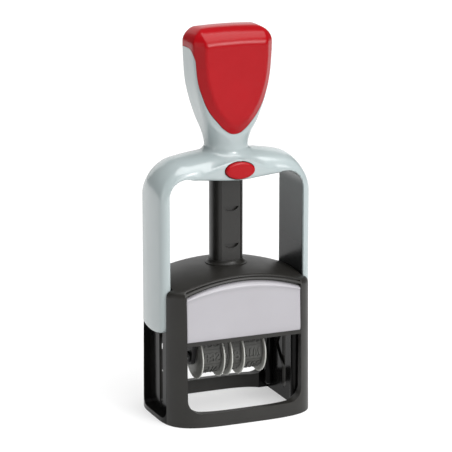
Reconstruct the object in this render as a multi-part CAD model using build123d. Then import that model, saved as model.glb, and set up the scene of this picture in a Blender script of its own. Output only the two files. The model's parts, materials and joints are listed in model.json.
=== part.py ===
from build123d import *
import math
import os

# Rotary date stamp. Millimetres, +Z up, origin at the middle of the resting face.
# The front, with the label panel and the lock button, faces -Y.

# ---- base body ----
base_half_x = 33.8
base_half_y = 24.5
base_top_half_y = 22.6
base_power = 3.86
base_envelope_height = 66.0
dome_radius = 85.0
dome_top = 65.5
dome_edge_round = 3.0
dome_edge_from = 56.0
inner_half_x = 27.5
inner_half_y = 17.6
rim_inner_half_y = 21.5
inner_roof = 61.5
roof_thickness = 2.6
channel_floor_x = 30.0
channel_half_y = 13.3
channel_bottom = 2.0
channel_corner = 4.0
post_radius = 1.9
post_x = 26.4
post_y = 13.6
post_bottom = 2.5
post_top = 47.0
rail_inner_x = 25.2
rail_bottom = 51.0
rail_top = 52.4
axle_slot_width = 3.7
axle_slot_bottom = 5.0
axle_slot_top = 43.0
window_half_x = 26.2
window_bottom = 6.0
window_corner = 6.0
front_window_top = 35.4
rear_window_top = 38.0

# ---- front label panel ----
panel_half_x = 26.1
panel_bottom = 37.2
panel_corner_top = 56.1
panel_middle_top = 61.0
panel_front_y = -20.95
panel_lean = 2.5
panel_thickness = 1.6
panel_seat_gap = 0.05
panel_arch_bevel = 1.1
panel_lip_gap = 0.9
beading_gap = 1.5
beading_width = 0.5
beading_depth_y = 18.5
collar_round = 1.6
collar_gap = 0.3

# ---- guide column ----
column_radius = 7.2
column_bore = 3.9
column_flat_y = 5.85
column_top = 121.0
column_floor = 62.0
flange_radius = 12.0
flange_thickness = 2.5
flange_screw_x = 9.9
flange_screw_radius = 1.0
flange_screw_head = 1.9
flange_screw_head_height = 1.2
flange_screw_grip = 2.2
notch_centres = (73.5, 89.7, 107.5)
notch_depth_y = 4.7
notch_round = 4.0
notch_below = 1.4
notch_above = 0.7

# ---- yoke, grip and lock ----
travel = 34.0
leg_inner_x = 30.3
leg_outer_x = 34.8
leg_bottom = 38.5
leg_end_round = 24.0
arch_half_y = 15.6
arch_power = 4.2
arch_inner_z = 103.6
arch_shoulder_z = 105.3
arch_crown_z = 115.2
arch_bend_z = 94.0
neck_half_x = 9.4
boss_radius = 9.5
boss_top = 113.0
yoke_bore = 7.5
yoke_bore_top = 156.0
rod_radius = 3.5
rod_bottom = 110.0
rod_screw_radius = 1.2
rod_screw_head = 2.4
rod_screw_head_height = 2.0
rod_screw_bottom = 148.0
spring_radius = 3.1
spring_wire = 0.4
spring_pitch = 4.0
grip_top = 168.0
grip_top_round = 4.5
grip_stations = (
    (110.5, 9.6, 9.6, 2.0),
    (117.0, 9.4, 9.4, 2.0),
    (123.0, 10.2, 10.2, 2.2),
    (132.0, 13.2, 11.6, 2.6),
    (144.0, 16.4, 12.5, 3.2),
    (156.0, 17.5, 12.7, 3.6),
    (168.0, 17.6, 12.7, 3.6),
)
cap_edge = ((0, 121.5), (7.5, 125.0), (12.3, 133.5), (15.9, 144.0), (18.5, 157.0))
cap_core_half_x = 14.0
cap_core_half_y = 8.6
cap_core_top = 163.0
button_half_x = 6.5
button_half_z = 3.6
button_z = 108.1
button_face_y = 16.7
button_back_y = 13.2
button_gap = 0.35
button_round = 1.1
lock_spring_x = 4.2
lock_spring_pocket = 1.6
lock_spring_radius = 1.1
lock_spring_wire = 0.2
lock_spring_pitch = 0.95
lock_spring_length = 3.9
tongue_z = 107.5
tongue_half_x = 2.2
tongue_half_z = 0.6
tongue_gap = 0.3
tongue_tip_y = 7.5
pocket_floor_y = 10.3

# ---- flip unit ----
pivot_z = 41.0
pivot_pin_radius = 1.7
pivot_pin_inner_x = 24.3
pivot_pin_outer_x = 33.0
print_height = 7.0
cam_reach = 7.0
cam_pin_radius = 1.5
cam_pin_inner_x = 24.6
cam_pin_outer_x = 28.5
cam_groove_width = 3.2
cam_groove_floor_x = 28.8
holder_half_x = 24.0
holder_half_y = 15.0
holder_bottom = 42.0
holder_top = 44.5
holder_cheek_half_y = 6.0
holder_cheek_bottom = 31.5
latch_x = 19.5
band_opening_half_x = 17.6
band_opening_half_y = 4.7
cushion_top = 45.5
text_plate_top = 47.2
plate_half_x = 22.5
cheek_outer_x = 26.6
running_gap = 0.05
wheel_z = 24.5
frame_half_x = 17.4
frame_half_y = 7.2
frame_wall = 1.9
frame_bottom = 40.0
frame_top = 41.9
frame_ear_half_y = 4.4
frame_ear_top = 46.0
disc_radius = 10.0
disc_thickness = 0.65
disc_places = (-14.5, -4.6, -1.0, 4.6, 14.5)
pulley_radius = 6.6
band_outer = 7.5
band_inner = 6.65
print_bar_radius = 2.8
print_bar_half_x = 15.5
print_bar_web_half_y = 2.2
band_play = 0.05
band_drop = 0.5
axle_radius = 1.5
axle_half_length = 18.6
clip_radius = 2.4
clip_inner_x = 17.5
clip_outer_x = 18.2

# ---- ink pad ----
pad_face_z = 49.2
pad_half_x = 22.8
pad_half_y = 15.2
tray_half_x = 24.6
tray_front_y = 16.2
tray_top = 54.7
tray_floor = 52.7
tray_flange_x = 27.2
tray_flange_y = 17.2
tray_flange_top = 54.2
tab_half_x = 25.5
tab_corner = 1.2
tab_groove_half_x = 9.0
tab_groove_depth = 0.5
tab_groove_pitch = 1.35
tab_front_y = 18.2
tab_back_y = 20.4


def block(x0, x1, y0, y1, z0, z1):
    """A box between two opposite corners."""
    middle = Pos((x0 + x1) / 2, (y0 + y1) / 2, (z0 + z1) / 2)
    return middle * Box(x1 - x0, y1 - y0, z1 - z0)


def rod_x(radius, x0, x1, y=0.0, z=0.0):
    """A cylinder along X from x0 to x1."""
    return Pos((x0 + x1) / 2, y, z) * Rot(0, 90, 0) * Cylinder(radius, abs(x1 - x0))


def rod_y(radius, y0, y1, x=0.0, z=0.0):
    """A cylinder along Y from y0 to y1."""
    return Pos(x, (y0 + y1) / 2, z) * Rot(90, 0, 0) * Cylinder(radius, abs(y1 - y0))


def rod_z(radius, z0, z1, x=0.0, y=0.0):
    """A cylinder along Z from z0 to z1."""
    return Pos(x, y, (z0 + z1) / 2) * Cylinder(radius, abs(z1 - z0))


def rounded_plan(half_x, half_y, power, z, count=48):
    """A superellipse drawn at height z."""
    points = []
    for step in range(count):
        angle = 2 * math.pi * step / count
        across = abs(math.cos(angle) / half_x) ** power
        along = abs(math.sin(angle) / half_y) ** power
        reach = (across + along) ** (-1 / power)
        points.append((reach * math.cos(angle), reach * math.sin(angle)))
    return Pos(0, 0, z) * make_face(Spline(points, periodic=True))


def across_x(face, x0, x1):
    """Extrudes a face drawn with its X as Y and its Y as Z, from x0 to x1."""
    plane = Plane(origin=(x0, 0, 0), x_dir=(0, 1, 0), z_dir=(1, 0, 0))
    return extrude(plane * face, amount=x1 - x0, dir=(1, 0, 0))


def across_y(face, y0, y1):
    """Extrudes a face drawn with its X as X and its Y as Z, from y0 to y1."""
    plane = Plane(origin=(0, y1, 0), x_dir=(1, 0, 0), z_dir=(0, -1, 0))
    return extrude(plane * face, amount=y1 - y0, dir=(0, -1, 0))


def write(name, shape):
    """Writes one sub-part, named after its node."""
    export_step(shape, f"parts/{name}.step")


def cam_path():
    """The cam pin's way down the side wall while the unit turns half a turn."""
    points = []
    for step in range(13):
        turn = math.pi * step / 12
        y = cam_reach * math.sin(turn)
        z = pivot_z - travel * turn / math.pi - cam_reach * math.cos(turn)
        points.append((y, z))
    return Spline(points)


def rounded_window(top):
    """A window outline whose two lower corners are round."""
    middle = (top + window_bottom) / 2
    outline = Pos(0, middle) * Rectangle(2 * window_half_x, top - window_bottom)
    low_corners = outline.vertices().sort_by(Axis.Y)[:2]
    return fillet(low_corners, window_corner)


def panel_outline(margin):
    """The label panel's outline: straight sides and foot, arched top."""
    side = panel_half_x + margin
    foot = panel_bottom - margin
    corner = panel_corner_top + margin
    edges = [
        Line((-side, corner), (-side, foot)),
        Line((-side, foot), (side, foot)),
        Line((side, foot), (side, corner)),
        ThreePointArc((side, corner), (0, panel_middle_top + margin), (-side, corner)),
    ]
    return make_face(edges)


def leaning_panel(outline, depth):
    """Extrudes an outline back from the panel's front face, which leans back."""
    plane = Plane(origin=(0, panel_front_y, panel_bottom), x_dir=(1, 0, 0), z_dir=(0, -1, 0))
    plane = plane.rotated((-panel_lean, 0, 0))
    return extrude(plane * (Pos(0, -panel_bottom) * outline), amount=depth, dir=-plane.z_dir)


def flat_side(foot):
    """Everything in front of the leaning front plane, above the foot height."""
    plane = Plane(origin=(0, panel_front_y, panel_bottom), x_dir=(1, 0, 0), z_dir=(0, -1, 0))
    plane = plane.rotated((-panel_lean, 0, 0))
    slab = extrude(plane * Rectangle(90, 120), amount=20, dir=plane.z_dir)
    return slab & block(-45, 45, -60, 0, foot, 90)


def make_collar():
    """The ring round the column's foot, flaring into the dome."""
    inner = column_radius - 0.5
    lip = column_radius + collar_gap
    outer = lip + collar_round
    top = dome_top + collar_round - 0.2
    edges = [
        Line((inner, dome_top - 2), (inner, top)),
        Line((inner, top), (lip, top)),
        ThreePointArc((lip, top),
                      (outer - math.sqrt(0.5) * collar_round, top - math.sqrt(0.5) * collar_round),
                      (outer, top - collar_round)),
        Line((outer, top - collar_round), (outer, dome_top - 2)),
        Line((outer, dome_top - 2), (inner, dome_top - 2)),
    ]
    return revolve(Plane.XZ * make_face(edges), axis=Axis.Z)


def make_base():
    envelope = loft([
        rounded_plan(base_half_x, base_half_y, base_power, 0),
        rounded_plan(base_half_x, base_top_half_y, base_power, base_envelope_height),
    ])
    body = envelope & (Pos(0, 0, dome_top - dome_radius) * Sphere(dome_radius))
    body -= flat_side(front_window_top)
    body -= Rot(0, 0, 180) * flat_side(rear_window_top)
    top_edges = body.edges().filter_by(lambda edge: edge.center().Z > dome_edge_from)
    body = fillet(top_edges, dome_edge_round)

    # seat of the label panel, the beading over it and the bar under it
    above_corner = block(-panel_half_x, panel_half_x, -30, 30, panel_corner_top, 70)
    body -= leaning_panel(panel_outline(panel_seat_gap), panel_thickness)
    body -= leaning_panel(panel_outline(panel_seat_gap), -8)
    body -= leaning_panel(panel_outline(panel_lip_gap), panel_thickness - 0.1) & above_corner
    body -= leaning_panel(panel_outline(panel_lip_gap), -8) & above_corner
    groove = panel_outline(beading_gap + beading_width) - panel_outline(beading_gap)
    for side in (-1, 1):
        low, high = sorted((side * 30, side * beading_depth_y))
        body -= across_y(groove, low, high) & above_corner
    body -= block(-window_half_x, window_half_x, -30, panel_front_y + 0.3, front_window_top, panel_bottom + 0.4)

    # hollow inside, wider near the foot
    hollow = block(-inner_half_x, inner_half_x, -inner_half_y, inner_half_y, -1, inner_roof)
    inner_dome = dome_radius - roof_thickness
    body -= hollow & (Pos(0, 0, dome_top - dome_radius) * Sphere(inner_dome))
    foot = rounded_plan(inner_half_x, rim_inner_half_y, base_power, -1)
    body -= extrude(foot, amount=front_window_top, dir=(0, 0, 1))
    body -= across_y(rounded_window(front_window_top), -30, 0)
    body -= across_y(rounded_window(rear_window_top), 0, 30)

    # channels for the yoke legs, with the axle slots in their floors
    channel_height = dome_top + 5 - channel_bottom
    channel = Pos(0, channel_bottom + channel_height / 2) * Rectangle(2 * channel_half_y, channel_height)
    channel = fillet(channel.vertices().sort_by(Axis.Y)[:2], channel_corner)
    slot_height = axle_slot_top - axle_slot_bottom
    slot = Pos(0, axle_slot_bottom + slot_height / 2) * SlotOverall(slot_height, axle_slot_width, rotation=90)
    for side in (-1, 1):
        low, high = sorted((side * channel_floor_x, side * 40))
        body -= across_x(channel, low, high)
        low, high = sorted((side * (inner_half_x - 1), side * 40))
        body -= across_x(slot, low, high)
        low, high = sorted((side * (inner_half_x - 0.5), side * cam_groove_floor_x))
        body -= across_x(trace(cam_path(), cam_groove_width), low, high)

    # rails that carry the ink cassette, and the slot it leaves by
    for side in (-1, 1):
        low, high = sorted((side * rail_inner_x, side * inner_half_x))
        body += block(low, high, -inner_half_y, inner_half_y, rail_bottom, rail_top)
    body -= block(-inner_half_x, inner_half_x, 16, 30, pad_face_z - 0.4, tray_top + 0.4)

    # round posts in the corners of the well, clear of the turning unit
    for side in (-1, 1):
        for end in (-1, 1):
            post = rod_z(post_radius, post_bottom, post_top, x=side * post_x, y=end * post_y)
            body += fillet(post.edges().sort_by(Axis.Z)[:1], post_radius - 0.2)

    # hole for the column, its flared collar and two screw holes
    body += rod_z(column_radius + 0.6, inner_roof, dome_top)
    body += make_collar()
    body -= rod_z(column_radius, inner_roof - 1, dome_top + 3)
    for side in (-1, 1):
        hole_top = inner_roof + flange_screw_grip + 0.2
        body -= rod_z(flange_screw_radius, inner_roof - 1, hole_top, x=side * flange_screw_x)
    return body


def make_column():
    column = rod_z(column_radius, inner_roof - flange_thickness, column_top)
    column += rod_z(flange_radius, inner_roof - flange_thickness, inner_roof)
    column -= rod_z(column_bore, column_floor, column_top + 1)
    column -= block(-9, 9, -9, -column_flat_y, dome_top + collar_round - 0.2, column_top + 1)
    for centre in notch_centres:
        scoop = rod_y(notch_round, -9, -notch_depth_y, z=centre - notch_below + notch_round)
        column -= scoop & block(-9, 9, -9, 0, centre - 4, centre + notch_above)
    for side in (-1, 1):
        column -= rod_z(flange_screw_radius, inner_roof - 4, inner_roof + 0.5, x=side * flange_screw_x)
    return column


def make_screws():
    screws = []
    for side in (-1, 1):
        x = side * flange_screw_x
        seat = inner_roof - flange_thickness
        shank = rod_z(flange_screw_radius, seat, inner_roof + flange_screw_grip, x=x)
        head = rod_z(flange_screw_head, seat - flange_screw_head_height, seat, x=x)
        screws.append(shank + head)
    return Compound(screws)


def make_panel():
    panel = leaning_panel(panel_outline(0), panel_thickness - 0.02)
    front_arch = panel.edges().filter_by(GeomType.CIRCLE).sort_by(Axis.Y)[0]
    return chamfer(front_arch, panel_arch_bevel)


def arch_outline():
    """The yoke seen from the front, without the grip."""
    edges = []
    for side in (-1, 1):
        edges += [
            Line((side * leg_inner_x, leg_bottom), (side * leg_outer_x, leg_bottom)),
            Line((side * leg_outer_x, leg_bottom), (side * leg_outer_x, arch_bend_z)),
            Spline([(side * leg_outer_x, arch_bend_z), (side * 32.8, 106.2), (side * 24, 112.4),
                    (side * neck_half_x, arch_crown_z)],
                   tangents=[(0, 1), (-side, 0.15)]),
            Line((side * leg_inner_x, leg_bottom), (side * leg_inner_x, arch_bend_z + 2)),
            ThreePointArc((side * leg_inner_x, arch_bend_z + 2), (side * 28.4, 101.6),
                          (side * 22, arch_shoulder_z - 0.4)),
            Line((side * 22, arch_shoulder_z - 0.4), (side * 12.5, arch_shoulder_z)),
            Line((side * 12.5, arch_shoulder_z), (side * 7, arch_inner_z)),
        ]
    edges.append(Line((-neck_half_x, arch_crown_z), (neck_half_x, arch_crown_z)))
    edges.append(Line((-7, arch_inner_z), (7, arch_inner_z)))
    return make_face(edges)


def leg_profile():
    """The yoke seen from the side: round leg ends and a rounded top."""
    corner_z = leg_bottom + leg_end_round - math.sqrt(leg_end_round ** 2 - arch_half_y ** 2)
    edges = [
        ThreePointArc((-arch_half_y, corner_z), (0, leg_bottom), (arch_half_y, corner_z)),
        Line((arch_half_y, corner_z), (arch_half_y, 109)),
        ThreePointArc((arch_half_y, 109), (0, 116), (-arch_half_y, 109)),
        Line((-arch_half_y, 109), (-arch_half_y, corner_z)),
    ]
    return make_face(edges)


def make_grip():
    sections = [rounded_plan(half_x, half_y, power, z) for z, half_x, half_y, power in grip_stations]
    grip = loft(sections)
    top_edges = grip.edges().filter_by(lambda edge: edge.center().Z > grip_top - 1)
    return fillet(top_edges, grip_top_round)


def cap_region():
    """The space of the red saddle: a shield at the front and back, joined over the top."""
    right = Spline(cap_edge)
    left = Spline([(-x, z) for x, z in cap_edge])
    wide, shoulder = cap_edge[-1]
    over = grip_top + 4
    top = [
        Line((wide, shoulder), (wide, over)),
        Line((wide, over), (-wide, over)),
        Line((-wide, over), (-wide, shoulder)),
    ]
    shield = across_y(make_face([right, left] + top), -20, 20)
    core = block(-cap_core_half_x, cap_core_half_x, -cap_core_half_y, cap_core_half_y, 100, cap_core_top)
    sides = block(-25, 25, -cap_core_half_y, cap_core_half_y, 100, shoulder + 2)
    return shield - core - sides


def oval(half_x, half_z):
    return Pos(0, button_z) * Ellipse(half_x, half_z)


def make_yoke(grip, region):
    yoke = across_y(arch_outline(), -20, 20)
    yoke &= extrude(rounded_plan(leg_outer_x + 0.1, arch_half_y, arch_power, 30), amount=100, dir=(0, 0, 1))
    yoke &= across_x(leg_profile(), -40, 40)
    boss = rod_y(boss_radius, -button_face_y + 0.9, -10, z=button_z)
    boss &= block(-boss_radius, boss_radius, -20, 0, arch_inner_z, boss_top)
    yoke += boss
    yoke += grip - region
    yoke -= rod_z(yoke_bore, 100, yoke_bore_top)
    yoke -= across_y(oval(button_half_x + button_gap, button_half_z + button_gap), -20, -pocket_floor_y)
    half_x = tongue_half_x + tongue_gap
    half_z = tongue_half_z + tongue_gap
    yoke -= block(-half_x, half_x, -pocket_floor_y - 1, -5, tongue_z - half_z, tongue_z + half_z)
    yoke -= rod_z(rod_screw_radius, yoke_bore_top - 1, cap_core_top)
    yoke -= rod_z(rod_screw_head, cap_core_top - rod_screw_head_height, cap_core_top)
    for side in (-1, 1):
        low, high = sorted((side * 28, side * (pivot_pin_outer_x + 0.1)))
        yoke -= rod_x(pivot_pin_radius, low, high, z=pivot_z)
    return yoke


def make_rod():
    rod = rod_z(rod_radius, rod_bottom, yoke_bore_top)
    return rod - rod_z(rod_screw_radius, rod_screw_bottom, yoke_bore_top + 1)


def make_rod_screw():
    seat = cap_core_top - rod_screw_head_height
    shank = rod_z(rod_screw_radius, rod_screw_bottom + 0.2, seat)
    return shank + rod_z(rod_screw_head, seat, cap_core_top - 0.3)


def make_spring(length, mean_radius, wire_radius, pitch):
    path = Helix(pitch=pitch, height=length, radius=mean_radius)
    section = Plane(origin=path @ 0, z_dir=path % 0) * Circle(wire_radius)
    return sweep(section, path=path)


def make_button():
    button = across_y(oval(button_half_x, button_half_z), -button_face_y, -button_back_y)
    face_edges = button.edges().sort_by(Axis.Y)[:1]
    button = fillet(face_edges, button_round)
    button += block(-tongue_half_x, tongue_half_x, -button_back_y - 0.5, -tongue_tip_y,
                    tongue_z - tongue_half_z, tongue_z + tongue_half_z)
    for side in (-1, 1):
        low = -button_back_y - 2
        button -= rod_y(lock_spring_pocket, low, low + 2.5, x=side * lock_spring_x, z=button_z)
    return button


def make_lock_springs():
    coils = []
    for side in (-1, 1):
        coil = make_spring(lock_spring_length, lock_spring_radius, lock_spring_wire, lock_spring_pitch)
        coils.append(Pos(side * lock_spring_x, -pocket_floor_y - 0.4, button_z) * Rot(90, 0, 0) * coil)
    return Compound(coils)


def make_pivot_pin(side):
    low, high = sorted((side * pivot_pin_inner_x, side * pivot_pin_outer_x))
    return rod_x(pivot_pin_radius, low, high, z=pivot_z)


def make_cam_pin(side):
    low, high = sorted((side * cam_pin_inner_x, side * cam_pin_outer_x))
    return rod_x(cam_pin_radius, low, high, z=pivot_z - cam_reach)


def make_holder():
    holder = ring_plate(holder_half_x, holder_half_y, holder_bottom, holder_top)
    for side in (-1, 1):
        low, high = sorted((side * holder_half_x, side * cheek_outer_x))
        cheek = block(low, high, -holder_cheek_half_y, holder_cheek_half_y, holder_cheek_bottom, holder_top)
        cheek -= rod_x(pivot_pin_radius + running_gap, side * 20, side * 30, z=pivot_z)
        cheek -= rod_x(cam_pin_radius, side * 20, side * 30, z=pivot_z - cam_reach)
        holder += cheek
    for x in (-latch_x, latch_x):
        for low, high in ((-12, -8), (8, 12)):
            holder -= block(x - 2, x + 2, low, high, holder_bottom - 1, holder_top + 1)
    return holder


def ring_plate(half_x, half_y, z0, z1):
    """A plate with the long opening that the date bands pass through."""
    plate = block(-half_x, half_x, -half_y, half_y, z0, z1)
    opening = block(-band_opening_half_x, band_opening_half_x,
                    -band_opening_half_y, band_opening_half_y, z0 - 1, z1 + 1)
    return plate - opening


def make_text_plate():
    plate = ring_plate(plate_half_x, holder_half_y, cushion_top, text_plate_top)
    top = pivot_z + print_height
    for y in (-13.0, 13.0):
        plate += block(-20.5, 20.5, y - 0.4, y + 0.4, text_plate_top, top)
    for y in (-9.6, 9.6):
        for column in range(7):
            x = -18 + 6 * column
            plate += block(x - 2.2, x + 2.2, y - 1.2, y + 1.2, text_plate_top, top)
    return plate


def cheek_outline():
    """The date frame's side plate: a round foot at the wheel axle, widening upwards."""
    return make_hull((Pos(0, wheel_z) * Circle(3.6)).edges() + (Pos(0, 40.5) * Rectangle(12.4, 2)).edges())


def make_date_frame():
    inside_x = frame_half_x - frame_wall
    inside_y = frame_half_y - frame_wall
    frame = block(-frame_half_x, frame_half_x, -frame_half_y, frame_half_y, frame_bottom, frame_top)
    frame -= block(-inside_x, inside_x, -inside_y, inside_y, frame_bottom - 1, frame_top + 1)
    for side in (-1, 1):
        low, high = sorted((side * inside_x, side * frame_half_x))
        ear = block(low, high, -frame_ear_half_y, frame_ear_half_y, frame_bottom + 1, frame_ear_top)
        cheek = across_x(cheek_outline(), low, high) + ear
        frame += cheek - rod_x(axle_radius, side * 12, side * 20, z=wheel_z)
    return frame


def print_bar_z():
    """The height of the bar that the bands turn round, a band's thickness under the print face."""
    return pivot_z + print_height - band_drop - (print_bar_radius + band_play + band_outer - band_inner)


def band_loop(wheel_radius, bar_radius):
    """A loop outline round a wheel below and the print bar above."""
    wheel = Pos(0, wheel_z) * Circle(wheel_radius)
    bar = Pos(0, print_bar_z()) * Circle(bar_radius)
    return make_hull(wheel.edges() + bar.edges())


def make_band(x0, x1):
    thickness = band_outer - band_inner
    outer = band_loop(band_outer, print_bar_radius + band_play + thickness)
    inner = band_loop(band_inner, print_bar_radius + band_play)
    return across_x(outer, x0, x1) - across_x(inner, x0 - 1, x1 + 1)


def make_print_bar():
    bar = rod_x(print_bar_radius, -print_bar_half_x, print_bar_half_x, z=print_bar_z())
    web = block(-print_bar_half_x, print_bar_half_x,
                -print_bar_web_half_y, print_bar_web_half_y, frame_bottom - 2, print_bar_z())
    return bar + web


def make_wheel(x0, x1, discs):
    wheel = rod_x(pulley_radius, x0, x1, z=wheel_z)
    for x in discs:
        wheel += rod_x(disc_radius, x - disc_thickness / 2, x + disc_thickness / 2, z=wheel_z)
    return wheel - rod_x(axle_radius + running_gap, x0 - 1, x1 + 1, z=wheel_z)


def make_cassette():
    tray = block(-tray_half_x, tray_half_x, -tray_front_y, tab_front_y, pad_face_z, tray_top)
    tray += block(-tray_flange_x, tray_flange_x, -tray_front_y, tray_flange_y, tray_floor, tray_flange_top)
    tray -= block(-pad_half_x, pad_half_x, -pad_half_y, pad_half_y, pad_face_z - 1, tray_floor)
    tab = block(-tab_half_x, tab_half_x, tab_front_y, tab_back_y, pad_face_z, tray_top)
    tab = fillet(tab.edges().filter_by(Axis.Y), tab_corner)
    for row in range(3):
        z = pad_face_z + 1.4 + tab_groove_pitch * row
        tab -= block(-tab_groove_half_x, tab_groove_half_x,
                     tab_back_y - tab_groove_depth, tab_back_y + 1, z - 0.3, z + 0.3)
    return tray + tab


def main():
    os.makedirs("parts", exist_ok=True)
    write("base_frame", make_base())
    write("guide_column", make_column())
    write("column_screws", make_screws())
    write("front_label_panel", make_panel())
    spring = make_spring(rod_bottom - column_floor - 1.0, spring_radius, spring_wire, spring_pitch)
    write("return_spring", Pos(0, 0, column_floor + 0.5) * spring)

    write("pad_cassette", make_cassette())
    write("ink_pad", block(-pad_half_x, pad_half_x, -pad_half_y, pad_half_y, pad_face_z, tray_floor))

    grip = make_grip()
    region = cap_region()
    write("yoke", make_yoke(grip, region))
    write("grip_cap", grip & region)
    write("plunger_rod", make_rod())
    write("rod_screw", make_rod_screw())
    write("pivot_pin_left", make_pivot_pin(-1))
    write("pivot_pin_right", make_pivot_pin(1))
    write("lock_spring", make_lock_springs())
    write("lock_button", make_button())

    write("die_holder", make_holder())
    write("cam_pin_left", make_cam_pin(-1))
    write("cam_pin_right", make_cam_pin(1))
    write("die_cushion", ring_plate(plate_half_x, holder_half_y, holder_top, cushion_top))
    write("text_plate", make_text_plate())
    write("date_frame", make_date_frame())
    write("print_bar", make_print_bar())
    write("date_axle", rod_x(axle_radius, -axle_half_length, axle_half_length, z=wheel_z))
    for name, side in (("left", -1), ("right", 1)):
        low, high = sorted((side * clip_inner_x, side * clip_outer_x))
        clip = rod_x(clip_radius, low, high, z=wheel_z) - rod_x(axle_radius, low - 1, high + 1, z=wheel_z)
        write(f"axle_clip_{name}", clip)

    half = disc_thickness / 2
    names = ("month", "day_tens", "day_units", "year")
    for index, name in enumerate(names):
        start = disc_places[index]
        end = disc_places[index + 1]
        discs = (start, end) if name == "year" else (start,)
        stop = end + half if name == "year" else end - half - 0.1
        write(f"wheel_{name}", make_wheel(start - half, stop, discs))
        write(f"band_{name}", make_band(start + half + 0.15, end - half - 0.15))


main()
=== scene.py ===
import json
import math

import bmesh
import bpy
import numpy as np
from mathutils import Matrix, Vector


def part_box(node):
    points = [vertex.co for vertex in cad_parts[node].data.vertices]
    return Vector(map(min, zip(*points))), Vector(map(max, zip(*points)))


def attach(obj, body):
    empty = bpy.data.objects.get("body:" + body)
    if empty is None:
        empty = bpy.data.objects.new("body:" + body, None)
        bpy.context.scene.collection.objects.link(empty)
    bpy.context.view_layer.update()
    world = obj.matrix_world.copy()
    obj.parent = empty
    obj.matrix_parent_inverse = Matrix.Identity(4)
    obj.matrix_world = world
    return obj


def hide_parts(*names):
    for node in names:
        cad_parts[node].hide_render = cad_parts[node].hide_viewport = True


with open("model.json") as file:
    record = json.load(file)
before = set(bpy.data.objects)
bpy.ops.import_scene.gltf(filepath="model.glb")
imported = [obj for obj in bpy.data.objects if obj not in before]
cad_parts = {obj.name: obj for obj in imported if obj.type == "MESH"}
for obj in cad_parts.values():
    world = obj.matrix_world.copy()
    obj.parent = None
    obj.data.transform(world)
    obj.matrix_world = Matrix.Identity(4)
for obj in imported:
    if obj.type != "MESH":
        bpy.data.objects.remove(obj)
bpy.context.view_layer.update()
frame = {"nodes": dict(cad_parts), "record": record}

MM = 0.001
scene = bpy.context.scene
scene.view_settings.view_transform = "Standard"

# Places taken from the frame, in millimetres.
yoke_low, yoke_high = (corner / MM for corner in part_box("yoke"))
grip_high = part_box("grip_cap")[1] / MM
button_low, button_high = (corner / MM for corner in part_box("lock_button"))
axle_low, axle_high = (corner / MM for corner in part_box("date_axle"))
WHEEL_Z = (axle_low.z + axle_high.z) / 2
DOME_RADIUS = 85.0
DOME_CENTRE_Z = 65.5 - DOME_RADIUS
DOME_SKIN = 1.3
CHANNEL_FLOOR_X = 29.7
CHANNEL_HALF_Y = 13.45
WELL_HALF_X = 27.6
WELL_HALF_Y = 17.7
LEG_OUT = yoke_high.x
LEG_IN = LEG_OUT - 4.5
OPENING_TOP = 105.3
OPENING_ROUND = 7.5
# Reach of the painted shade on the inside faces of the legs, and the heights where it starts and is darkest.
SHADE_FROM_X = 22.0
SHADE_HALF_Y = 12.1
SHADE_TOP_Z = 101.0
SHADE_DARK_Z = 70.0
PIVOT_Z = (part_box("pivot_pin_left")[0].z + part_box("pivot_pin_left")[1].z) / 2 / MM


# ---------------------------------------------------------------- meshes

def add_piece(name, mesh, body, material, replaces=()):
    """Links a mesh as a piece that rides on a body."""
    piece = bpy.data.objects.new(name, mesh)
    scene.collection.objects.link(piece)
    mesh.materials.clear()
    mesh.materials.append(material)
    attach(piece, body)
    if replaces:
        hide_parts(*replaces)
    return piece


def closed_mesh(name, work):
    """Turns a bmesh into a mesh with all its faces pointing out."""
    bmesh.ops.recalc_face_normals(work, faces=work.faces)
    mesh = bpy.data.meshes.new(name)
    work.to_mesh(mesh)
    work.free()
    return mesh


def mesh_from(name, points, faces):
    mesh = bpy.data.meshes.new(name)
    mesh.from_pydata([tuple(point) for point in points], [], [tuple(face) for face in faces])
    mesh.update()
    return mesh


def smooth(mesh, sharp_degrees=35):
    """Smooth shading that keeps edges sharper than the angle."""
    mesh.polygons.foreach_set("use_smooth", [True] * len(mesh.polygons))
    mesh.set_sharp_from_angle(angle=math.radians(sharp_degrees))
    mesh.update()


def round_max(a, b, radius):
    """Intersection of two fields with a rounded convex edge."""
    over_a = np.maximum(a + radius, 0)
    over_b = np.maximum(b + radius, 0)
    return np.minimum(np.maximum(a, b), -radius) + np.sqrt(over_a ** 2 + over_b ** 2)


def round_min(a, b, radius):
    """Union of two fields with a rounded concave corner."""
    return -round_max(-a, -b, radius)


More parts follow.
